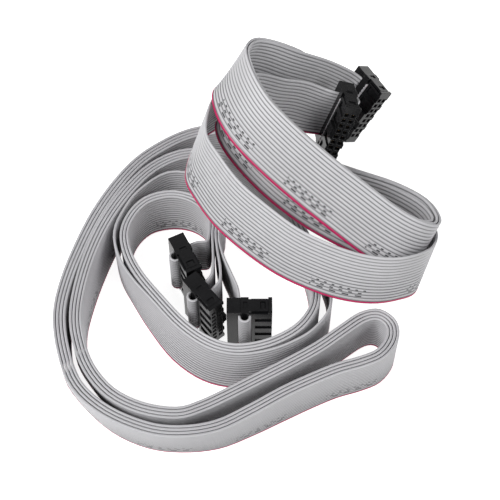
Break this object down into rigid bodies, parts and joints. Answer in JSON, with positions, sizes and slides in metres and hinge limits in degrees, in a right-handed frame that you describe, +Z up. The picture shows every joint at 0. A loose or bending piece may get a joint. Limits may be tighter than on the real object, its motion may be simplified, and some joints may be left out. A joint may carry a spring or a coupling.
{
  "type": "ribbon cable",
  "caption": "Flat grey ribbon cable with a red edge and black two-row sockets along it, folded and coiled, standing on its edge.",
  "frame": {"origin": "centre of the pile's bounding box in plan, on the plane that it lies on", "axes": "+X to the right and +Y to the back as the object lies, +Z up"},
  "size_m": [0.1316, 0.1489, 0.0671],
  "materials": {
    "ribbon": "satin",
    "socket": "satin",
    "cover": "satin",
    "strain_relief": "satin",
    "contact": "bright"
  },
  "bodies": {
    "root": {"ribbon_a": "ribbon", "ribbon_b": "ribbon", "ribbon_c": "ribbon", "ribbon_d": "ribbon", "left_socket": "socket", "left_contacts": "contact", "left_cover": "cover", "left_strain_relief": "strain_relief", "middle_socket": "socket", "middle_contacts": "contact", "middle_cover": "cover", "middle_strain_relief": "strain_relief", "right_socket": "socket", "right_contacts": "contact", "right_cover": "cover", "right_strain_relief": "strain_relief", "upper_socket": "socket", "upper_contacts": "contact", "upper_cover": "cover", "upper_strain_relief": "strain_relief", "outer_socket": "socket", "outer_contacts": "contact", "outer_cover": "cover", "outer_strain_relief": "strain_relief"}
  },
  "joints": []
}
